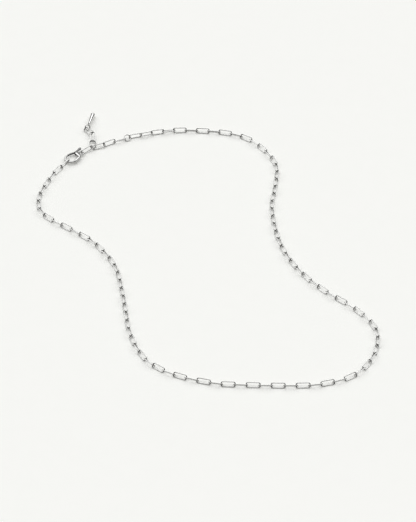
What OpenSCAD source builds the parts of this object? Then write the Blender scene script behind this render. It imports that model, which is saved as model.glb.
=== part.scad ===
// Paperclip chain necklace with a lobster clasp, a short extension and a
// tail with a small baton drop, lying closed on a flat surface.
// Millimetres, Z up, the origin is the middle of the footprint.

/* [Wire] */
// Thickness of the round wire of the links
wire = 0.4; // [0.34:0.01:0.42]

/* [Links] */
// Outer length of one link
link_length = 5.52; // [5.46:0.01:5.56]
// Outer width of one link
link_width = 2.2; // [2.1:0.02:2.4]
// Radius of a link's corners along the middle of the wire
link_corner = 0.62; // [0.5:0.02:0.7]
// Free length at each joint of two links
link_play = 0.12; // [0.1:0.01:0.16]
// How far the links are turned about their length, to the two sides in turn
link_turn = 45; // [42:1:48]
// Number of links that lie along the route
link_count = 91; // [60:1:91]

/* [Rings] */
// Outer diameter of the ring at the start of the chain
start_ring_d = 3.1; // [3.04:0.02:3.2]
// Outer length of the end ring
end_ring_l = 5.85; // [5.75:0.05:5.95]
// Outer width of the end ring
end_ring_w = 3.25; // [3.2:0.05:3.35]
// Radius of the end ring's narrow ends along the middle of the wire
end_ring_corner = 1.1; // [1:0.05:1.2]
// Thickness of the end ring's wire
end_ring_wire = 0.45; // [0.4:0.01:0.46]
// Outer diameter of the ring that carries the drop
drop_ring_d = 2.7; // [2.6:0.02:2.8]

/* [Drop] */
// Length of the drop without its eye
drop_length = 8.2; // [7:0.1:9]
// Diameter of the drop's wide end
drop_wide = 1.9; // [1.6:0.05:2]
// Diameter of the drop's narrow end
drop_narrow = 1; // [0.8:0.05:1.2]
// Outer diameter of the drop's eye
drop_eye_d = 1.5; // [1.45:0.01:1.6]
// Thickness of the drop's eye
drop_eye_wire = 0.36; // [0.32:0.01:0.38]

/* [Clasp body] */
// Diameter of the hole in the clasp's eye
eye_hole = 1.32; // [1.26:0.02:1.4]
// Thickness of the eye's round section
eye_wire = 0.64; // [0.56:0.02:0.66]
// Distance from the eye's middle to the middle of the hook's bend
hook_offset = 5.2; // [5:0.05:5.5]
// Radius of the hook's bend along its middle
hook_radius = 2.3; // [2.2:0.02:2.4]
// Thickness of the hook where a link hangs in it
hook_wire = 0.96; // [0.8:0.02:0.98]
// Width of the spine where it meets the base
spine_width = 1.5; // [1.3:0.05:1.6]
// Height of the spine where it meets the base
spine_height = 1.56; // [1.3:0.02:1.6]
// Height of the base, which holds the lever's pin
base_height = 1.6; // [1.5:0.02:1.7]

/* [Clasp lever] */
// Height of the lever's tongue in the slot of the base
tongue_height = 0.7; // [0.6:0.02:0.74]
// Gap between the tongue and each side of the slot
tongue_gap = 0.05; // [0.04:0.01:0.1]
// Diameter of the pin
pin_d = 0.5; // [0.4:0.02:0.54]
// Gap all round the pin in the lever's bore
pin_gap = 0.04; // [0.03:0.01:0.06]
// Gap all round the pin in the base
pin_seat_gap = 0.02; // [0.01:0.01:0.03]
// Distance from the pin to the lever's tip
lever_reach = 3.55; // [3.4:0.05:3.6]
// Thickness of the lever's arm
lever_wire = 0.8; // [0.7:0.02:0.84]
// Gap between the lever's tip and the hook's tip
tip_gap = 0.12; // [0.1:0.01:0.2]
// Width of the thumb tab
tab_width = 0.96; // [0.8:0.02:1]

/* [Hidden] */
$fn = 32;

// Moves everything so that the middle of the footprint is at zero
footprint_shift = [0.09, 0.92, 0];

// Places inside the clasp, from its eye's middle
pin_at = [1.7, -1.1, 0];
spine_foot_x = 1.9;
spine_angle = 108;
slot_height = tongue_height + 2 * tongue_gap;
slot_x = 0.75;
slot_depth = 0.62;
hook_y = -0.1;
lever_tip_turn = -22;

pitch = link_length - 2 * wire - link_play;
link_half = (link_width - wire) / 2;

// A step of one unit along a heading and a rise
function along(head, rise = 0) =
  [cos(head) * cos(rise), sin(head) * cos(rise), sin(rise)];
function ahead_of(lie) = along(lie[0], lie[1]);

// Links stand on the edge of their wire, so a turned link sits higher
function seat(turn) =
  link_half * sin(min(90, link_turn + turn)) + wire / 2;

// How each piece round the clasp lies: its heading, rise and roll
hook_link_lie = [54, 0, 107];
start_ring_lie = [14, -4, 28];
extension_1_lie = [19, 3, -33];
extension_2_lie = [28, 0, 69];
extension_3_lie = [17, 6, 22];
end_ring_lie = [81, -8, 36];
clasp_link_lie = [38, 7, 83];
tail_1_lie = [97, 8, -8];
tail_2_lie = [129, -10, -52];
drop_ring_lie = [32, -25, 62];
drop_lie = [80, -7.7, 125];
clasp_heading = 222;

// From a piece's middle to the middle of the wire that hangs in its end
link_reach = pitch / 2;
start_ring_reach = start_ring_d / 2 - wire - link_play / 2;
end_ring_reach = end_ring_l / 2 - end_ring_wire - link_play / 2;
eye_reach = (eye_hole - link_play) / 2;
hook_reach = hook_radius - (hook_wire + link_play) / 2;
drop_ring_reach = drop_ring_d / 2 - wire - link_play / 2;
drop_eye_reach = drop_eye_d / 2 - drop_eye_wire - link_play / 2;

// Where the chain runs, with the extra turn of its links at each point. It
// starts at the start ring and goes round clockwise. After the last point
// it ends in the hook link.
route = [
  [-30.0, 65.0, 55], [-17.0, 68.5, 30], [-5.5, 69.5, 0], [10.5, 67.5, 0],
  [20.5, 61.5, 0], [28.5, 48.0, 0], [28.0, 33.0, 0], [26.5, 21.5, 0],
  [28.0, 6.0, 5], [31.5, -7.0, 10], [38.0, -19.0, 10], [46.5, -29.0, 5],
  [57.0, -38.5, 0], [64.5, -50.0, 0], [63.5, -63.5, 0], [56.0, -75.0, 0],
  [44.0, -80.0, 0], [32.5, -81.0, 0], [12.5, -80.5, 0], [3.0, -79.5, 0],
  [-11.0, -75.0, 0], [-21.5, -67.0, 0], [-27.5, -53.5, 0],
  [-29.5, -41.0, 0], [-31.5, -27.0, -5], [-34.5, -13.5, -10],
  [-42.5, -0.5, -10], [-51.0, 7.0, -5], [-63.0, 17.0, 0],
  [-65.0, 27.5, 5], [-60.0, 41.5, 5]];
stops = len(route);

// Each piece hangs in the one before it, from the chain's first joint over
// the rings and the clasp to its last joint. The typed steps are how far it
// has slid and dropped from the pulled-out place.
first_joint = [route[0].x, route[0].y, seat(route[0][2])];
start_ring_at = first_joint + start_ring_reach * along(202)
  + [0.01, 0.01, -0.25];
extension_1_at = start_ring_at + start_ring_reach * along(206)
  - link_reach * ahead_of(extension_1_lie) + [0.1, -0.22, 0.07];
extension_2_at = extension_1_at - link_reach * ahead_of(extension_1_lie)
  - link_reach * ahead_of(extension_2_lie) + [0.05, -0.17, 0.37];
extension_3_at = extension_2_at - link_reach * ahead_of(extension_2_lie)
  - link_reach * ahead_of(extension_3_lie) + [0.07, -0.1, -0.06];
end_ring_at = extension_3_at - link_reach * ahead_of(extension_3_lie)
  + end_ring_reach * ahead_of(end_ring_lie) + [-0.64, -0.94, 0.98];
clasp_link_at = end_ring_at - end_ring_reach * ahead_of(end_ring_lie)
  - link_reach * ahead_of(clasp_link_lie) + [-0.13, 0.12, 0.14];
clasp_at = clasp_link_at - link_reach * ahead_of(clasp_link_lie)
  + eye_reach * along(clasp_heading) + [0.04, 0.01, -0.07];
hook_link_at = clasp_at + hook_offset * along(clasp_heading)
  + hook_y * along(clasp_heading + 90) + hook_reach * along(clasp_heading + 11.7)
  - link_reach * ahead_of(hook_link_lie) + [0.03, 0.03, 0.07];
last_joint = hook_link_at - link_reach * ahead_of(hook_link_lie);
tail_1_at = end_ring_at + end_ring_reach * ahead_of(end_ring_lie)
  + link_reach * ahead_of(tail_1_lie) + [-0.25, -0.07, 0.17];
tail_2_at = tail_1_at + link_reach * ahead_of(tail_1_lie)
  + link_reach * ahead_of(tail_2_lie) + [-0.15, -0.17, 0.03];
drop_ring_at = tail_2_at + link_reach * ahead_of(tail_2_lie)
  + drop_ring_reach * along(50) + [0.45, -0.19, 0.5];
drop_at = drop_ring_at + (drop_ring_reach + drop_eye_reach) * along(62)
  + [-0.12, -0.23, 0.65];

// The route opened out from its first point, up to the last joint
function opened(wide) = concat(
  [for (p = route) concat(flat(route[0]) + wide * (flat(p) - flat(route[0])), p[2])],
  [concat(flat(last_joint), 3)]);
function flat(p) = [p.x, p.y];

// A smooth curve through a route's points; t counts the points passed.
function stop_at(way, i) =
  i < 0 ? 2 * way[0] - way[1] :
  i > stops ? 2 * way[stops] - way[stops - 1] : way[i];
function spot(way, t) =
  let (
    i = min(max(floor(t), 0), stops - 1),
    f = t - i,
    a = stop_at(way, i - 1),
    b = stop_at(way, i),
    c = stop_at(way, i + 1),
    d = stop_at(way, i + 2))
  0.5 * (2 * b + (c - a) * f + (2 * a - 5 * b + 4 * c - d) * f * f
    + (3 * b - a - 3 * c + d) * f * f * f);

// The place one pitch further along the curve, from a first guess
function ahead(way, t, guess, rounds) =
  rounds == 0 ? guess :
  ahead(way, t, t + (guess - t) * pitch
    / norm(flat(spot(way, guess)) - flat(spot(way, t))), rounds - 1);
function joints_along(way) = [for (k = 0, t = 0; k <= link_count;
  t = ahead(way, t, t + 0.3, 7), k = k + 1) t];

// The links are so many and so long, and the loop opens or closes up with
// them: how wide it lies is found by halving.
function fit_wide(lo, hi, rounds) =
  let (mid = (lo + hi) / 2)
  rounds == 0 ? mid :
  joints_along(opened(mid))[link_count] > stops
    ? fit_wide(mid, hi, rounds - 1) : fit_wide(lo, mid, rounds - 1);
way = opened(fit_wide(0.5, 1.5, 18));
joint_t = joints_along(way);

// Where two links meet, the one that is turned further sets the height.
function extra_turn(k) = spot(way, (joint_t[k] + joint_t[k + 1]) / 2)[2];
function joint(k) =
  let (
    p = spot(way, joint_t[k]),
    before = abs(extra_turn(max(k - 1, 0))),
    after = abs(extra_turn(min(k, link_count - 1))))
  [p.x, p.y, seat(max(before, after))];
function link_roll(k) =
  (k % 2 == 0 ? link_turn : -link_turn) + extra_turn(k);

// Heading and slope of the line between two points
function heading(d) = atan2(d.y, d.x);
function slope(d) = asin(d.z / norm(d));

// One link, flat, with its length along X
module link() {
  long = (link_length - wire) / 2 - link_corner;
  wide = link_half - link_corner;
  for (sx = [-1, 1]) {
    for (sy = [-1, 1])
      translate([sx * long, sy * wide, 0])
        rotate([0, 0, sx > 0 ? (sy > 0 ? 0 : -90) : (sy > 0 ? 90 : 180)])
          rotate_extrude(angle = 90)
            translate([link_corner, 0]) circle(d = wire);
    translate([sx * (long + link_corner), wide, 0])
      rotate([90, 0, 0]) cylinder(d = wire, h = 2 * wide);
  }
  for (sy = [-1, 1])
    translate([-long, sy * (wide + link_corner), 0])
      rotate([0, 90, 0]) cylinder(d = wire, h = 2 * long);
}

// Puts a piece at a place with its length along X turned to its lie
module lay(at, lie) {
  translate(at + footprint_shift) rotate([0, -lie[1], lie[0]])
    rotate([lie[2], 0, 0]) children();
}

// A link between two joints
module link_between(p, q, roll) {
  lay((p + q) / 2, [heading(q - p), slope(q - p), roll]) link();
}

// A round ring, flat
module round_ring(outer, thick) {
  rotate_extrude()
    translate([(outer - thick) / 2, 0]) circle(d = thick);
}

// The skin of a tube: rows of points, each row a ring of the same count
module skin(rows, closed) {
  n = len(rows);
  sides = len(rows[0]);
  points = [for (row = rows) for (p = row) p];
  sleeve = [for (i = [0 : n - (closed ? 1 : 2)], k = [0 : sides - 1], half = [0, 1])
    let (
      a = i * sides + k,
      b = i * sides + (k + 1) % sides,
      c = (i + 1) % n * sides + k,
      d = (i + 1) % n * sides + (k + 1) % sides)
    half == 0 ? [a, d, b] : [a, c, d]];
  caps = closed ? [] : [[for (k = [0 : sides - 1]) k],
    [for (k = [sides - 1 : -1 : 0]) (n - 1) * sides + k]];
  polyhedron(points = points, faces = concat(sleeve, caps));
}

// A tube in the XY plane through rows of x, y, half width, half height and,
// where a row is not square to the path, its own heading
module planar_tube(path, sides) {
  last = len(path) - 1;
  skin([for (i = [0 : last])
    let (
      a = path[max(i - 1, 0)],
      b = path[min(i + 1, last)],
      p = path[i],
      h = is_undef(p[4]) ? atan2(b.y - a.y, b.x - a.x) : p[4])
    [for (k = [0 : sides - 1])
      let (q = 360 * k / sides)
      [p.x - sin(h) * p[2] * cos(q), p.y + cos(h) * p[2] * cos(q),
        p[3] * sin(q)]]], false);
}

module chain() {
  color("silver")
    for (k = [0 : link_count - 1])
      link_between(joint(k), joint(k + 1), link_roll(k));
}

module hook_link() {
  color("silver") lay(hook_link_at, hook_link_lie) link();
}

module start_ring() {
  color("silver") lay(start_ring_at, start_ring_lie) round_ring(start_ring_d, wire);
}

module extension_link_1() {
  color("silver") lay(extension_1_at, extension_1_lie) link();
}

module extension_link_2() {
  color("silver") lay(extension_2_at, extension_2_lie) link();
}

module extension_link_3() {
  color("silver") lay(extension_3_at, extension_3_lie) link();
}

// An oval of four arcs, flat, with its length along X: points of its wire's
// middle line with the way out at each, for half of the way round
end_half_l = (end_ring_l - end_ring_wire) / 2;
end_half_w = (end_ring_w - end_ring_wire) / 2;
end_x = end_half_l - end_ring_corner;
side_r = (pow(end_x, 2) + pow(end_half_w, 2) - pow(end_ring_corner, 2))
  / (2 * (end_half_w - end_ring_corner));
side_a = asin(end_x / (side_r - end_ring_corner));
half_oval = concat(
  [for (i = [0 : 13])
    let (a = (90 - side_a) * (i / 7 - 1))
    [end_x + end_ring_corner * cos(a), end_ring_corner * sin(a), a]],
  [for (i = [0 : 9])
    let (a = 90 - side_a + side_a * i / 5)
    [side_r * cos(a), end_half_w - side_r + side_r * sin(a), a]]);

module end_ring() {
  oval = concat(half_oval, [for (p = half_oval) [-p.x, -p.y, p[2] + 180]]);
  color("silver") lay(end_ring_at, end_ring_lie)
    skin([for (p = oval) [for (k = [0 : 11])
      let (q = -30 * k, r = end_ring_wire / 2)
      [p.x + r * cos(q) * cos(p[2]), p.y + r * cos(q) * sin(p[2]),
        r * sin(q)]]], true);
}

module clasp_link() {
  color("silver") lay(clasp_link_at, clasp_link_lie) link();
}

// Puts a clasp piece in place: the eye is at zero, the hook along X, the
// lever on the minus Y side.
module in_clasp() {
  translate(clasp_at + footprint_shift) rotate([0, 0, clasp_heading]) children();
}

// The hook's tip and the lever's tip face each other on circles round the
// pin. The hook's tip is where its bend meets its circle.
hook_middle = [hook_offset, hook_y, 0];
to_pin = pin_at - hook_middle;
hook_tip_turn = heading(to_pin) + acos(
  (to_pin * to_pin + pow(hook_radius, 2) - pow(lever_reach + tip_gap, 2))
  / (2 * norm(to_pin) * hook_radius));
function on_hook(a) = hook_middle + hook_radius * [cos(a), sin(a), 0];
hook_tip_heading = heading(on_hook(hook_tip_turn) - pin_at);

// The hook's and the spine's section: half width, half height
function hook_section(a) =
  let (
    s = min(1, max(0, (a - 30) / (spine_angle - 30))),
    e = s * s * (3 - 2 * s))
  [hook_wire / 2 + e * (spine_width / 2 - hook_wire / 2) * 0.9,
    hook_wire / 2 + e * (spine_height / 2 - hook_wire / 2)];
function hook_row(a) = concat([on_hook(a).x, on_hook(a).y], hook_section(a));
spine_run = (on_hook(spine_angle).x - spine_foot_x) / sin(spine_angle);
hook_path = concat(
  [concat(hook_row(hook_tip_turn), [hook_tip_heading])],
  [for (i = [1 : 26])
    hook_row(hook_tip_turn + (spine_angle - hook_tip_turn) * i / 26)],
  [for (s = [[0.3, 1, 1], [0.65, 1, 1], [1, 0.9, 0.95], [1.2, 0.6, 0.7]])
    let (r = hook_row(spine_angle))
    [r.x - s[0] * spine_run * sin(spine_angle),
      r.y + s[0] * spine_run * cos(spine_angle),
      s[1] * (r[2] + min(1, s[0]) * (spine_width / 2 - r[2])), s[2] * r[3]]]);

module clasp_body() {
  color("silver") in_clasp() {
    rotate_extrude()
      translate([(eye_hole + eye_wire) / 2, 0]) circle(d = eye_wire);
    difference() {
      hull() {
        for (sy = [-1, 1])
          translate([eye_hole / 2 + eye_wire * 0.85, sy * 0.45, 0])
            sphere(d = eye_wire * 1.35);
        translate([spine_foot_x, 1.05, 0]) sphere(d = base_height);
        translate(pin_at) sphere(d = base_height);
      }
      translate([slot_x, pin_at.y - 2, -slot_height / 2])
        cube([3, 2 + slot_depth, slot_height]);
      translate([pin_at.x, pin_at.y, -base_height])
        cylinder(d = pin_d + 2 * pin_seat_gap, h = 2 * base_height);
    }
    planar_tube(hook_path, 20);
  }
}

// The lever's arm and thumb tab, from the tip to the end of the tab: x, y,
// half width, half height. The middle rows lie in the base's slot.
lever_tip = pin_at + lever_reach * [cos(lever_tip_turn), sin(lever_tip_turn), 0];
half_arm = lever_wire / 2;
half_tongue = tongue_height / 2;
half_tab = tab_width / 2;
lever_path = [
  [lever_tip.x, lever_tip.y, half_arm, half_arm, lever_tip_turn + 180],
  [4.3, -2.46, half_arm, half_arm],
  [3.6, -2.4, half_arm, half_arm],
  [2.85, -2.2, half_arm * 0.95, half_arm],
  [2.4, -2.08, half_arm * 0.8, half_tongue * 0.96],
  [1.7, -2, half_arm * 0.7, half_tongue * 0.96],
  [1, -2.05, half_arm * 0.7, half_tongue * 0.96],
  [0.55, -2.14, half_arm * 0.75, half_tongue * 0.95],
  [-0.1, -2.3, half_arm * 0.85, half_arm * 0.85],
  [-0.8, -2.44, half_tab * 0.8, half_tab * 0.8],
  [-1.2, -2.5, half_tab * 0.95, half_tab * 0.95],
  [-1.55, -2.52, half_tab, half_tab],
  [-1.8, -2.52, half_tab * 0.85, half_tab * 0.85],
  [-1.94, -2.52, half_tab * 0.45, half_tab * 0.45]];

module clasp_lever() {
  color("silver") in_clasp()
    difference() {
      union() {
        translate([pin_at.x, pin_at.y, -half_tongue])
          cylinder(d = pin_d + 0.5, h = tongue_height);
        translate([pin_at.x - 0.43, -2.07, -half_tongue])
          cube([0.86, pin_at.y + 2.07, tongue_height]);
        planar_tube(lever_path, 16);
      }
      translate([pin_at.x, pin_at.y, -tongue_height])
        cylinder(d = pin_d + 2 * pin_gap, h = 2 * tongue_height);
    }
}

module clasp_pin() {
  color("silver") in_clasp()
    translate([pin_at.x, pin_at.y, -base_height / 2 + 0.05])
      cylinder(d = pin_d, h = base_height - 0.1);
}

module tail_link_1() {
  color("silver") lay(tail_1_at, tail_1_lie) link();
}

module tail_link_2() {
  color("silver") lay(tail_2_at, tail_2_lie) link();
}

module drop_ring() {
  color("silver") lay(drop_ring_at, drop_ring_lie) round_ring(drop_ring_d, wire);
}

// The drop's outline from its narrow end: radius, distance along it
narrow_r = drop_narrow / 2;
wide_r = drop_wide / 2;
drop_outline = concat(
  [[0, 0]],
  [for (a = [15 : 15 : 90])
    [narrow_r * sin(a), narrow_r * 0.6 * (1 - cos(a))]],
  [for (s = [0.25, 0.5, 0.75])
    [narrow_r + s * (wide_r - narrow_r),
      narrow_r * 0.6 + s * (drop_length - wide_r - narrow_r * 0.6)]],
  [for (a = [90 : -15 : 15])
    [wide_r * sin(a), drop_length - wide_r + wide_r * cos(a)]],
  [[0, drop_length]]);

module drop() {
  color("silver") lay(drop_at, drop_lie) {
    rotate_extrude()
      translate([(drop_eye_d - drop_eye_wire) / 2, 0])
        circle(d = drop_eye_wire);
    translate([drop_eye_d / 2 - drop_eye_wire * 0.7, 0, 0]) rotate([0, 90, 0])
      rotate_extrude() polygon(drop_outline);
  }
}

chain();
hook_link();
start_ring();
extension_link_1();
extension_link_2();
extension_link_3();
end_ring();
clasp_link();
clasp_body();
clasp_lever();
clasp_pin();
tail_link_1();
tail_link_2();
drop_ring();
drop();
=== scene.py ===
import math

import bmesh
import bpy
import numpy as np
from mathutils import Matrix, Vector


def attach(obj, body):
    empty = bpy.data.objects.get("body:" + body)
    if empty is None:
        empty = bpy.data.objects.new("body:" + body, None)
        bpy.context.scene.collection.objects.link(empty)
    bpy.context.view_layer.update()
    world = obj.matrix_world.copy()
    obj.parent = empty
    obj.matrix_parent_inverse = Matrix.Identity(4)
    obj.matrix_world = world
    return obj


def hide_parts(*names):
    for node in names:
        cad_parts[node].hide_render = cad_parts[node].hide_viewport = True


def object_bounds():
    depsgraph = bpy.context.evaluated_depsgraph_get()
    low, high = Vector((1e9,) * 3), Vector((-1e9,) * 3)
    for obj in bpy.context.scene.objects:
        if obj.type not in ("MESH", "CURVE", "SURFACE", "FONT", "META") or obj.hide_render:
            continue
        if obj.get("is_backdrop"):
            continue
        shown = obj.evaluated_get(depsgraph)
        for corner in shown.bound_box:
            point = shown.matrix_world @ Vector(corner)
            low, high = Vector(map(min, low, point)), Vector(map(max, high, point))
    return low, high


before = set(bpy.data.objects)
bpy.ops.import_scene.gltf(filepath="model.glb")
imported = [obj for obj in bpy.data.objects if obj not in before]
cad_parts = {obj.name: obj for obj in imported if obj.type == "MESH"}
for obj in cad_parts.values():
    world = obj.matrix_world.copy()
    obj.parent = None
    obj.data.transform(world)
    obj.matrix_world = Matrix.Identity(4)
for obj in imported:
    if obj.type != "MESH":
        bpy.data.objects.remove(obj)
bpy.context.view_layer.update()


# The camera stands in front of the necklace and looks down at it at 41 degrees
# through a long lens, so that the far end is hardly smaller than the near one.
CAMERA_STANDS = (0.0016, -0.90916, 0.7804)
LOOKS_DOWN = math.radians(40.933)
SENSOR_MM, LENS_MM = 36.0, 213.22
lens = bpy.data.cameras.new("camera")
lens.sensor_fit = "AUTO"
lens.sensor_width = SENSOR_MM
lens.lens = LENS_MM
lens.clip_start, lens.clip_end = 0.05, 10.0
camera = bpy.data.objects.new("camera", lens)
camera.location = CAMERA_STANDS
camera.rotation_euler = (math.pi / 2 - LOOKS_DOWN, 0.0, 0.0)
bpy.context.scene.collection.objects.link(camera)
bpy.context.scene.camera = camera


# The studio is a tent of lit cloth: three walls, at the back and the two sides,
# that stand clear of the table, and a ceiling. The side of the camera is dark.
class Wire:
    """A socket of a shader, on which sums are written as plain arithmetic."""

    def __init__(self, tree, socket):
        self.tree, self.socket = tree, socket

    def _math(self, operation, a, b=None):
        node = self.tree.nodes.new("ShaderNodeMath")
        node.operation = operation
        for slot, value in zip(node.inputs, (a, b)):
            if isinstance(value, Wire):
                self.tree.links.new(value.socket, slot)
            elif value is not None:
                slot.default_value = value
        return Wire(self.tree, node.outputs[0])

    def __add__(self, other):
        return self._math("ADD", self, other)

    def __radd__(self, other):
        return self._math("ADD", other, self)

    def __sub__(self, other):
        return self._math("SUBTRACT", self, other)

    def __rsub__(self, other):
        return self._math("SUBTRACT", other, self)

    def __mul__(self, other):
        return self._math("MULTIPLY", self, other)

    def __rmul__(self, other):
        return self._math("MULTIPLY", other, self)

    def over(self, edge, width):
        """0 below the edge, 1 above it, with a soft step of that width."""
        step = (self - edge) * (1.0 / width)
        return step._math("MINIMUM", step._math("MAXIMUM", step, 0.0), 1.0)


class Finish:
    """The nodes of a material, or of the room, added one by one and joined to its shader."""

    def __init__(self, owner, shader):
        self.owner = owner
        owner.use_nodes = True
        self.tree = owner.node_tree
        self.shader = self.tree.nodes[shader]

    def node(self, kind, output=0, set_first=(), **sockets):
        made = self.tree.nodes.new(kind)
        for key, value in dict(set_first).items():
            setattr(made, key, value)
        for key, value in sockets.items():
            slot = made.inputs[key.replace("_", " ")]
            if isinstance(value, Wire):
                self.tree.links.new(value.socket, slot)
            else:
                slot.default_value = value
        return Wire(self.tree, made.outputs[output])

    def set(self, **sockets):
        for key, value in sockets.items():
            slot = self.shader.inputs[key.replace("_", " ")]
            if isinstance(value, Wire):
                self.tree.links.new(value.socket, slot)
            else:
                slot.default_value = value

    def blend(self, mask, low, high):
        """A colour between two, by a mask."""
        made = self.tree.nodes.new("ShaderNodeMix")
        made.data_type = "RGBA"
        for slot, value in zip((made.inputs[0], made.inputs[6], made.inputs[7]), (mask, low, high)):
            if isinstance(value, Wire):
                self.tree.links.new(value.socket, slot)
            else:
                slot.default_value = value
        return Wire(self.tree, made.outputs[2])


WALL_LIGHT, CEILING_LIGHT = 1.71, 1.54
WALL_FOOT, WALL_TOP, CEILING_EDGE, DARK_SIDE = 0.30, 0.82, 0.80, -0.35
room = Finish(bpy.data.worlds.new("room"), "Background")
way = room.node("ShaderNodeTexCoord", output="Generated")
back, up = (room.node("ShaderNodeSeparateXYZ", output=axis, Vector=way) for axis in "YZ")
wall = up.over(WALL_FOOT, 0.2) * (1.0 - up.over(WALL_TOP, 0.13))
beside = back.over(DARK_SIDE, 0.3)
ceiling = up.over(CEILING_EDGE, 0.15)
room.set(
    Color=(1.0, 1.0, 1.0, 1.0),
    Strength=WALL_LIGHT * wall * beside + CEILING_LIGHT * ceiling,
)
bpy.context.scene.world = room.owner
bpy.context.scene.view_settings.view_transform = "Standard"
bpy.context.scene.view_settings.gamma = 0.8


# The table is a sheet of matt white acrylic, wide enough to have no edge in view
# and lit a little from below, which keeps the necklace's shadows faint.
TABLE_PALE, TABLE_PALER = (0.715, 0.717, 0.70, 1.0), (0.727, 0.729, 0.712, 1.0)
TABLE_GLOW, TABLE_GLOW_STRENGTH = (1.0, 1.0, 0.975, 1.0), 0.225
TABLE_HALF = 3
table = Finish(bpy.data.materials.new("lit_acrylic"), "Principled BSDF")
grain = table.node("ShaderNodeTexNoise", Scale=900.0, Detail=2.0)
table.set(
    Base_Color=table.blend(grain, TABLE_PALE, TABLE_PALER),
    Roughness=0.9,
    Specular_IOR_Level=0.1,
    Emission_Color=TABLE_GLOW,
    Emission_Strength=TABLE_GLOW_STRENGTH,
)
sheet = bpy.data.meshes.new("table_top")
sheet.from_pydata([(x * TABLE_HALF, y * TABLE_HALF, 0) for x, y in ((-1, -1), (1, -1), (1, 1), (-1, 1))],
                  [], [(0, 1, 2, 3)])
sheet.materials.append(table.owner)
table_top = bpy.data.objects.new("table_top", sheet)
bpy.context.scene.collection.objects.link(table_top)
table_top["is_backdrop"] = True


# The necklace is 925 silver, drawn or cast, then tumbled and polished: a bright
# mirror with faint hairlines and slightly duller patches. Where wires cross and
# parts meet, painted shade darkens the silver. Only the pin is of steel.
def polished_silver(name, tone, gloss, hairlines):
    """A polished metal; a higher tone is lighter and a higher gloss value is duller."""
    silver = Finish(bpy.data.materials.new(name), "Principled BSDF")
    place = silver.node("ShaderNodeTexCoord", output="Object")
    patches = silver.node("ShaderNodeTexNoise", Vector=place, Scale=420.0, Detail=3.0)
    fine = silver.node("ShaderNodeTexNoise", Vector=place, Scale=9000.0, Detail=2.0)
    # painted shade: a point attribute that darkens the silver where parts meet
    painted_shade = silver.node("ShaderNodeAttribute", output="Fac",
                             set_first={"attribute_name": "painted_shade"})
    duller = (patches - 0.35).over(0.1, 0.25)
    bright = (tone, tone * 0.998, tone * 0.99, 1.0)
    dim = (tone * 0.93, tone * 0.925, tone * 0.91, 1.0)
    # the colour of the painted shade
    painted_shade_colour = (tone * 0.22, tone * 0.215, tone * 0.2, 1.0)
    bump = silver.node("ShaderNodeBump", Strength=hairlines, Distance=0.00002, Height=fine)
    silver.set(
        Base_Color=silver.blend(painted_shade, silver.blend(duller, bright, dim), painted_shade_colour),
        Metallic=1.0,
        Roughness=gloss + duller * 0.08 + fine * 0.05 + painted_shade * 0.2,
        Normal=bump,
    )
    return silver.owner


def silver_piece(name, points, faces, finish, stands_for, painted_shade=None, body="necklace"):
    """A smooth mesh that takes a node's place; painted shade darkens each point by the amount given."""
    mesh = bpy.data.meshes.new(name)
    mesh.from_pydata([tuple(p) for p in points], [], faces)
    mesh.polygons.foreach_set("use_smooth", [True] * len(mesh.polygons))
    mesh.materials.append(finish)
    # painted shade, kept on each point
    if painted_shade is not None:
        mesh.attributes.new("painted_shade", "FLOAT", "POINT").data.foreach_set("value", painted_shade)
    piece = bpy.data.objects.new(name, mesh)
    bpy.context.scene.collection.objects.link(piece)
    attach(piece, body)
    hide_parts(stands_for)
    return piece


# The chain is 91 links of drawn wire, each bent to a long rectangle with round
# corners round the last one and soldered in the middle of one long side.
LINK_LONG, LINK_WIDE, LINK_CORNER = 0.00552, 0.0022, 0.00062
WIRE = 0.0004
SOLDER_SWELL = ((0.00028, 1.0), (0.00016, 1.05), (0.0, 1.09), (-0.00016, 1.05), (-0.00028, 1.0))
link_silver = polished_silver("link_silver", 0.70, 0.09, 0.2)


def swept(path, radii, way_out, sides):
    """Points and faces of a closed wire along a flat path, and how far each faces inwards.

    Where the wire is thicker than at its start, it is so in the path's own plane only."""
    turn = np.linspace(0, 2 * np.pi, sides, endpoint=False)
    upright = np.array([0.0, 0.0, 1.0])
    out, up = np.cos(turn)[:, None], np.sin(turn)[:, None]
    rings = [p + r * out * n + min(r, radii[0]) * up * upright for p, r, n in zip(path, radii, way_out)]
    faces = []
    for i in range(len(path)):
        for k in range(sides):
            a, b = i * sides + k, i * sides + (k + 1) % sides
            c, d = (i + 1) % len(path) * sides + (k + 1) % sides, (i + 1) % len(path) * sides + k
            faces.append((a, d, c, b))
    inward = np.tile((1 - np.cos(turn)) / 2, len(path))
    return np.vstack(rings), faces, inward


def link_wire(long, wide, corner, wire):
    """One link round zero, its length along X, and the painted shade on it where it meets the next."""
    path, way_out, radii, at_end = [], [], [], []
    reach_x, reach_y = (long - wire) / 2 - corner, (wide - wire) / 2 - corner
    for quarter, (sx, sy) in enumerate([(1, 1), (-1, 1), (-1, -1), (1, -1)]):
        for step in range(8):
            a = math.radians(90 * quarter + 90 * step / 7)
            n = np.array([math.cos(a), math.sin(a), 0.0])
            path.append(np.array([sx * reach_x, sy * reach_y, 0.0]) + corner * n)
            way_out.append(n)
            radii.append(wire / 2)
            at_end.append(abs(math.cos(a)))
        if quarter == 0:
            for x, swell in SOLDER_SWELL:
                path.append(np.array([x, reach_y + corner, 0.0]))
                way_out.append(np.array([0.0, 1.0, 0.0]))
                radii.append(wire / 2 * swell)
                at_end.append(0.0)
    points, faces, inward = swept(path, radii, way_out, 14)
    # painted shade at the link's ends, where the next link lies, strongest on the inner side
    return points, faces, np.repeat(at_end, 14) * (0.35 + 0.6 * inward)


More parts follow.
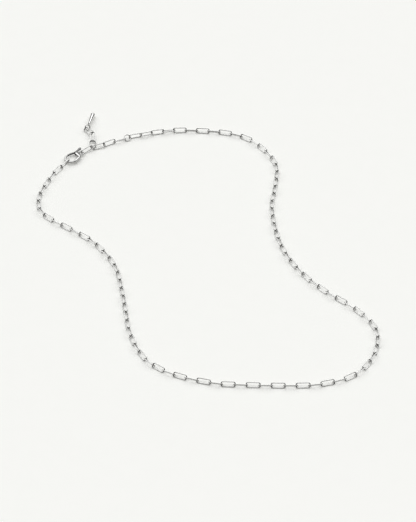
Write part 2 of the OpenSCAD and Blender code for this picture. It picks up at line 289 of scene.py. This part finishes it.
def loose_parts(node):
    """The points of each loose solid of a node."""
    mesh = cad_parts[node].data
    points = np.array([v.co for v in mesh.vertices])
    owner = list(range(len(points)))

    def root(i):
        while owner[i] != i:
            owner[i] = owner[owner[i]]
            i = owner[i]
        return i

    places = {}
    for i, p in enumerate(points):
        j = places.setdefault(tuple(np.round(p, 8)), i)
        owner[root(i)] = root(j)
    for edge in mesh.edges:
        a, b = (root(v) for v in edge.vertices)
        owner[a] = b
    groups = {}
    for i in range(len(points)):
        groups.setdefault(root(i), []).append(i)
    return [points[g] for g in groups.values()]


def lie_of(points):
    """The middle of a solid and its axes, the longest first."""
    corners = np.unique(np.round(points, 8), axis=0)
    middle = corners.mean(0)
    for _ in range(3):
        axes = np.linalg.svd(corners - middle, full_matrices=False)[2]
        along = (corners - middle) @ axes.T
        middle = middle + (along.min(0) + along.max(0)) / 2 @ axes
    axes[2] = np.cross(axes[0], axes[1])
    return middle, axes


one_link, link_faces, link_painted_shade = link_wire(LINK_LONG, LINK_WIDE, LINK_CORNER, WIRE)
chain_points, chain_faces = [], []
for number, solid in enumerate(loose_parts("chain")):
    middle, axes = lie_of(solid)
    if axes[1][2] < 0:  # the solder swell lies on the upper side
        axes = axes * np.array([[-1.0], [-1.0], [1.0]])
    chain_faces += [tuple(v + number * len(one_link) for v in f) for f in link_faces]
    chain_points.append(middle + one_link @ axes)
silver_piece("chain_links", np.vstack(chain_points), chain_faces, link_silver, "chain",
             np.tile(link_painted_shade, len(chain_points)))


# Seven more such links are pieces of their own: the one that hangs in the hook,
# three of the extension, the one in the clasp's eye and two of the tail.
for node in ("hook_link", "extension_link_1", "extension_link_2", "extension_link_3",
             "clasp_link", "tail_link_1", "tail_link_2"):
    middle, axes = lie_of(loose_parts(node)[0])
    silver_piece(node + "_wire", middle + one_link @ axes, link_faces, link_silver, node, link_painted_shade)


# Three jump rings join the ends: a round one at the chain's start, a larger oval
# one in the middle of it all, and a round one for the drop. Each is a bent wire
# whose two ends meet in a fine filed seam.
def laid(points, at, heading, rise, roll):
    """Points turned from a piece's own frame to its place on the table."""
    turn = (Matrix.Rotation(math.radians(heading), 3, "Z")
            @ Matrix.Rotation(math.radians(-rise), 3, "Y")
            @ Matrix.Rotation(math.radians(roll), 3, "X"))
    return np.asarray(at) + points @ np.array(turn).T


def ring_wire(half_long, half_wide, end_radius, wire, seam_at):
    """An oval of four arcs along the middle of the wire, or a circle, with a dark seam and painted shade on
    its inner side.
    """
    if half_long == half_wide:
        arcs = [(0.0, 0.0, half_long, 0, 360)]
    else:
        reach = half_long - end_radius
        side = (reach ** 2 + half_wide ** 2 - end_radius ** 2) / (2 * (half_wide - end_radius))
        lean = math.degrees(math.asin(reach / (side - end_radius)))
        arcs = [(reach, 0.0, end_radius, lean - 90, 90 - lean),
                (0.0, half_wide - side, side, 90 - lean, 90 + lean),
                (-reach, 0.0, end_radius, 90 + lean, 270 - lean),
                (0.0, side - half_wide, side, 270 - lean, 270 + lean)]
    path, way_out, radii, dark = [], [], [], []
    for x, y, radius, first, last in arcs:
        steps = max(8, int((last - first) / 6))
        angles = {first + (last - first) * step / steps for step in range(steps)}
        if first <= seam_at < last:
            angles |= {seam_at + turn for turn in (-2.4, -0.9, 0.0, 0.9, 2.4)}
        for angle in sorted(angles):
            n = np.array([math.cos(math.radians(angle)), math.sin(math.radians(angle)), 0.0])
            near = max(0.0, 1 - abs(angle - seam_at) / 0.9)
            path.append(np.array([x, y, 0.0]) + radius * n)
            way_out.append(n)
            radii.append(wire / 2 * (1 - 0.16 * near))
            dark.append(0.9 * near)
    points, faces, inward = swept(path, radii, way_out, 18)
    # the dark filed seam, and painted shade on the ring's inner side
    return points, faces, np.maximum(np.repeat(dark, 18), 0.3 * inward)


# name, node, half lengths, end radius and wire, lie (place, heading, rise, roll), seam
JUMP_RINGS = (
    ("start_jump_ring", "start_ring", (0.00135, 0.00135, 0.0, WIRE),
     ((-0.0309106, 0.0655217, 0.00085), 14, -4, 28), 75),
    ("end_jump_ring", "end_ring", (0.0027, 0.0014, 0.0011, 0.00045),
     ((-0.0447161, 0.0609832, 0.0011523), 81, -8, 36), 96),
    ("drop_jump_ring", "drop_ring", (0.00115, 0.00115, 0.0, WIRE),
     ((-0.0471259, 0.0716389, 0.0013576), 32, -25, 62), 300),
)
for name, node, size, lie, seam_at in JUMP_RINGS:
    points, faces, dark = ring_wire(*size, seam_at)
    silver_piece(name, laid(points, *lie), faces, link_silver, node, dark)


# The drop is a turned baton that widens from a soldered eye to a rounded end. It
# is the smoothest piece of all, because it is turned and buffed on a wheel.
DROP_LIE = ((-0.0466732, 0.0724861, 0.0020076), 80, -7.7, 125)
DROP_EYE, DROP_EYE_WIRE, DROP_LONG = 0.0015, 0.00036, 0.0082
DROP_NECK, DROP_END, DROP_ROUND = 0.0005, 0.00095, 0.0008
drop_silver = polished_silver("drop_silver", 0.82, 0.07, 0.1)


def turned(outline, sides):
    """Points and faces of a solid turned about X, from distances along it and radii."""
    turn = np.linspace(0, 2 * np.pi, sides, endpoint=False)
    points = [np.array([[x, r * math.cos(a), r * math.sin(a)] for a in turn]) for x, r in outline]
    faces = [(i + k, i + (k + 1) % sides, i + sides + (k + 1) % sides, i + sides + k)
             for i in range(0, (len(outline) - 1) * sides, sides) for k in range(sides)]
    faces.append(tuple(reversed(range(sides))))
    faces.append(tuple((len(outline) - 1) * sides + k for k in range(sides)))
    return np.vstack(points), faces


start = DROP_EYE / 2 - DROP_EYE_WIRE * 0.7
shoulder = 0.0003
outline = [(start + shoulder * (1 - math.cos(a)), DROP_NECK * math.sin(a))
           for a in np.linspace(0.15, math.pi / 2, 10)]
flank = DROP_LONG - shoulder - DROP_ROUND
outline += [(start + shoulder + s * flank, DROP_NECK + (DROP_END - DROP_NECK) * s)
            for s in np.linspace(0.04, 0.97, 16)]
outline += [(start + DROP_LONG - 0.00083 + DROP_ROUND * math.sin(a) ** 0.8, DROP_END * math.cos(a) ** 0.8)
            for a in np.linspace(0.02, math.pi / 2 - 0.02, 18)]
baton, baton_faces = turned(outline, 40)
eye_radius = (DROP_EYE - DROP_EYE_WIRE) / 2
eye_points, eye_faces, eye_seam_and_shade = ring_wire(eye_radius, eye_radius, 0.0, DROP_EYE_WIRE, 180)
drop_points = np.vstack([baton, eye_points])
drop_faces = baton_faces + [tuple(v + len(baton) for v in f) for f in eye_faces]
# painted shade on the baton's neck, where it meets the eye
neck_shade = np.clip(1 - (baton[:, 0] - start) / 0.00045, 0, 1) * 0.7
silver_piece("drop_baton", laid(drop_points, *DROP_LIE), drop_faces, drop_silver, "drop",
             np.concatenate([neck_shade, eye_seam_and_shade]))


# The clasp's body is one casting: an eye, a base of two cheeks with the lever's
# slot between them, a spine and a hook that tapers to its tip. The parts run
# into each other with soft fillets, as they leave the mould and the tumbler.
# Sizes here are in millimetres from the middle of the eye, and angles in degrees.
CLASP_LIE = ((-0.0492239, 0.0555388, 0.0009978), 222, 0, 0)
MILLIMETRE = 0.001
EYE_HOLE, EYE_WIRE = 1.32, 0.64
HOOK_AT, HOOK_RADIUS, HOOK_TIP, SPINE_FROM = np.array([5.2, -0.1]), 2.3, -91.7, 108.0
# how far on along the spine, and how wide and high it is against its start
SPINE_FOOT = ((0.6, 1.04, 1.0), (1.2, 1.1, 1.0), (1.8, 1.2, 0.98), (2.3, 1.2, 0.9), (2.7, 0.9, 0.7))
PIN_AT, PIN_BORE = np.array([1.7, -1.1, 0.0]), 0.54
SLOT_FROM, SLOT_TO, SLOT_HALF = (0.75, -3.1), (3.75, -0.48), 0.4
clasp_silver = polished_silver("clasp_silver", 0.58, 0.08, 0.15)


def cast_tube(rows, sides, square=2.6):
    """A closed, a little squared tube through rows of x, y, heading, half width, half height."""
    points = []
    for x, y, heading, half_wide, half_high in rows:
        h = math.radians(heading)
        for q in np.linspace(0, 2 * np.pi, sides, endpoint=False):
            c, s = (math.copysign(abs(v) ** (2 / square), v) for v in (math.cos(q), math.sin(q)))
            side = half_wide * c
            points.append((x - math.sin(h) * side, y + math.cos(h) * side, half_high * s))
    last = (len(rows) - 1) * sides
    faces = [(i + k, i + sides + k, i + sides + (k + 1) % sides, i + (k + 1) % sides)
             for i in range(0, last, sides) for k in range(sides)]
    return points, faces + [tuple(range(sides)), tuple(last + k for k in reversed(range(sides)))]


def cast_solid(points, faces):
    """A loose object, its faces all turned outwards; without faces it is the points' hull."""
    mesh = bpy.data.meshes.new("blank")
    shape = bmesh.new()
    made = [shape.verts.new(p) for p in points]
    for f in faces:
        shape.faces.new([made[v] for v in f])
    if not faces:
        hull = bmesh.ops.convex_hull(shape, input=shape.verts)
        inside = [v for v in hull["geom_interior"] if isinstance(v, bmesh.types.BMVert)]
        bmesh.ops.delete(shape, geom=inside, context="VERTS")
    bmesh.ops.recalc_face_normals(shape, faces=shape.faces)
    shape.to_mesh(mesh)
    shape.free()
    solid = bpy.data.objects.new("blank", mesh)
    bpy.context.scene.collection.objects.link(solid)
    return solid


def finished(solid, *steps):
    """The solid's mesh after its modifiers, with the solid thrown away."""
    for kind, settings in steps:
        step = solid.modifiers.new(kind, kind)
        for key, value in settings.items():
            setattr(step, key, value)
    worked = solid.evaluated_get(bpy.context.evaluated_depsgraph_get())
    made = bpy.data.meshes.new_from_object(worked)
    bpy.data.objects.remove(solid)
    return made


def cast(parts, grain, rounding):
    """Solids run together in the mould: one skin, with soft fillets where they meet."""
    blank = bmesh.new()
    for part in parts:
        blank.from_mesh(part)
    mesh = bpy.data.meshes.new("blank")
    blank.to_mesh(mesh)
    blank.free()
    solid = bpy.data.objects.new("blank", mesh)
    bpy.context.scene.collection.objects.link(solid)
    made = finished(solid, ("REMESH", {"mode": "VOXEL", "voxel_size": grain}),
                    ("SMOOTH", {"factor": 0.5, "iterations": rounding}))
    points = np.empty(len(made.vertices) * 3)
    made.vertices.foreach_get("co", points)
    return points.reshape(-1, 3), [tuple(f.vertices) for f in made.polygons]


def ball(middle, radius):
    """Points on a ball, for a hull round several of them."""
    return [np.asarray(middle)
            + radius * np.array([math.cos(a) * math.cos(b), math.sin(a) * math.cos(b), math.sin(b)])
            for a in np.linspace(0, 2 * np.pi, 28, endpoint=False)
            for b in np.linspace(-np.pi / 2, np.pi / 2, 15)]


hook_rows = []
for a in np.linspace(HOOK_TIP, SPINE_FROM, 44):
    fuller = min(1.0, max(0.0, (a - 30) / 78))
    fuller = fuller * fuller * (3 - 2 * fuller)
    tapered = max(0.0, 1 - (a - HOOK_TIP) / 30)
    half_wide = 0.40 + 0.11 * fuller - 0.10 * tapered
    half_high = 0.46 + 0.28 * fuller - 0.08 * tapered
    outer_half = 0.48 + 0.243 * fuller
    drawn_in = 0.12 * (1 - fuller) * max(0.0, 1 - (a - HOOK_TIP) / 45)
    reach = HOOK_RADIUS + outer_half - half_wide - drawn_in
    x, y = HOOK_AT + reach * np.array([math.cos(math.radians(a)), math.sin(math.radians(a))])
    hook_rows.append((x, y, a + 90, half_wide, half_high))
x, y, heading, half_wide, half_high = hook_rows[-1]
spine_way = math.radians(heading + 1)
for run, wide, high in SPINE_FOOT:
    hook_rows.append((x + run * math.cos(spine_way), y + run * math.sin(spine_way),
                      heading, half_wide * wide, half_high * high))
hook_and_spine = cast_solid(*cast_tube(hook_rows, 24))
by_the_eye = EYE_HOLE / 2 + EYE_WIRE * 0.85
cheeks = cast_solid(ball((by_the_eye, -0.42, 0), 0.40) + ball((by_the_eye, 0.42, 0), 0.40)
                    + ball((1.9, 1.0, 0), 0.76) + ball((PIN_AT[0], PIN_AT[1] + 0.04, 0), 0.75), [])
slot_cutter = cast_solid([(x, y, z) for x in (SLOT_FROM[0], SLOT_TO[0]) for y in (SLOT_FROM[1], SLOT_TO[1])
                          for z in (-SLOT_HALF, SLOT_HALF)], [])
full_turn = np.linspace(0, 2 * np.pi, 40, endpoint=False)
bore_cutter = cast_solid([(PIN_AT[0] + PIN_BORE / 2 * math.cos(a), PIN_AT[1] + PIN_BORE / 2 * math.sin(a), z)
                          for z in (-1.2, 1.2) for a in full_turn], [])
eye_radius = (EYE_HOLE + EYE_WIRE) / 2
NO_SEAM = 500  # an angle that the wire never comes to
eye_points, eye_faces, _ = ring_wire(eye_radius, eye_radius, 0.0, EYE_WIRE * 0.97, NO_SEAM)
cheek_mesh = finished(cheeks, ("BOOLEAN", {"operation": "DIFFERENCE", "object": slot_cutter}),
                      ("BOOLEAN", {"operation": "DIFFERENCE", "object": bore_cutter}))
bpy.data.objects.remove(slot_cutter)
bpy.data.objects.remove(bore_cutter)
eye_mesh = finished(cast_solid(eye_points, eye_faces))
body_points, body_faces = cast([finished(hook_and_spine), cheek_mesh, eye_mesh], grain=0.05, rounding=5)
x, y, z = body_points.T
# painted shade inside the lever's slot, round the pin's bore and inside the eye
slot_shade = np.clip(1 - (np.abs(z) - 0.3) / 0.15, 0, 1) * (np.abs(x - 1.9) < 1.3) * (y < -0.35) * 0.9
from_pin = np.hypot(x - PIN_AT[0], y - PIN_AT[1])
pin_bore_shade = np.clip(1 - np.abs(from_pin - PIN_BORE / 2) / 0.06, 0, 1) * 0.6
eye_hole_shade = np.clip(1 - (np.hypot(x, y) - 0.62) / 0.2, 0, 1) * 0.45
silver_piece("clasp_casting", laid(body_points * MILLIMETRE, *CLASP_LIE), body_faces, clasp_silver,
             "clasp_body", np.clip(slot_shade + pin_bore_shade + eye_hole_shade, 0, 1))


# The lever is cast apart, and its silver is given a much darker tone. It is a bent
# finger with a round thumb tab and a thin tongue that turns on the pin in the
# slot, and a hidden spring pushes its tip against the hook's.
lever_silver = polished_silver("lever_silver", 0.24, 0.12, 0.15)
TONGUE_HALF, TONGUE_ROUND = 0.34, 0.49
# from the tip to the thumb tab: x, y, half width, half height
lever_path = np.array([(4.99, -2.43, 0.36, 0.38), (4.3, -2.46, 0.38, 0.4), (3.6, -2.4, 0.38, 0.4),
                       (2.85, -2.2, 0.36, 0.39), (2.4, -2.08, 0.31, 0.33), (1.7, -2.0, 0.28, 0.33),
                       (1.0, -2.05, 0.28, 0.33), (0.55, -2.14, 0.29, 0.33), (-0.1, -2.3, 0.34, 0.34),
                       (-0.8, -2.44, 0.42, 0.4), (-1.2, -2.5, 0.5, 0.46), (-1.55, -2.52, 0.5, 0.47),
                       (-1.8, -2.52, 0.42, 0.4), (-1.92, -2.52, 0.2, 0.2)])
steps = np.linspace(0, len(lever_path) - 1, 60)
smooth = np.array([np.interp(steps, range(len(lever_path)), column) for column in lever_path.T]).T
for _ in range(6):
    smooth[1:-1] = (smooth[:-2] + 2 * smooth[1:-1] + smooth[2:]) / 4
heads = np.degrees(np.unwrap(np.arctan2(np.gradient(smooth[:, 1]), np.gradient(smooth[:, 0]))))
heads[0] = heads[1] = heads[2]
arm = cast_solid(*cast_tube([(x, y, h, w, t) for (x, y, w, t), h in zip(smooth, heads)], 20, 2.3))
tongue_faces = (-TONGUE_HALF, TONGUE_HALF)
tongue = cast_solid([(x, y, z) for x in (1.3, 2.1) for y in (-2.07, -1.1) for z in tongue_faces]
                    + [(PIN_AT[0] + TONGUE_ROUND * math.cos(a), PIN_AT[1] + TONGUE_ROUND * math.sin(a), z)
                       for z in tongue_faces for a in full_turn], [])
lever_points, lever_faces = cast([finished(arm), finished(tongue)], grain=0.045, rounding=4)
from_pin = np.hypot(lever_points[:, 0] - PIN_AT[0], lever_points[:, 1] - PIN_AT[1])
# painted shade on the lever near the pin, where it goes into the slot
base_shade = np.clip(1 - (from_pin - 0.75) / 0.35, 0, 1) * 0.7
silver_piece("clasp_finger", laid(lever_points * MILLIMETRE, *CLASP_LIE), lever_faces, lever_silver,
             "clasp_lever", base_shade, body="lever")


# The pin is a steel rivet through both cheeks. Its ends are peened into low domes
# that lie just under the cheeks' surface.
PIN_LONG, PIN_RADIUS = 1.5, 0.25
pin_steel = polished_silver("pin_steel", 0.5, 0.16, 0.3)
rivet_outline = [(-PIN_LONG / 2 + 0.09 * (1 - math.cos(a)), PIN_RADIUS * math.sin(a))
                 for a in np.linspace(0.1, math.pi / 2, 8)]
rivet_outline += [(x, PIN_RADIUS * 0.985) for x in np.linspace(-0.62, 0.62, 6)]
rivet_outline += [(-x, r) for x, r in reversed(rivet_outline[:8])]
rivet, rivet_faces = turned(rivet_outline, 32)
rivet = PIN_AT + rivet[:, [2, 1, 0]] * np.array([1.0, 1.0, -1.0])
silver_piece("clasp_rivet", laid(rivet * MILLIMETRE, *CLASP_LIE), rivet_faces, pin_steel, "clasp_pin")


low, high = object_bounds()
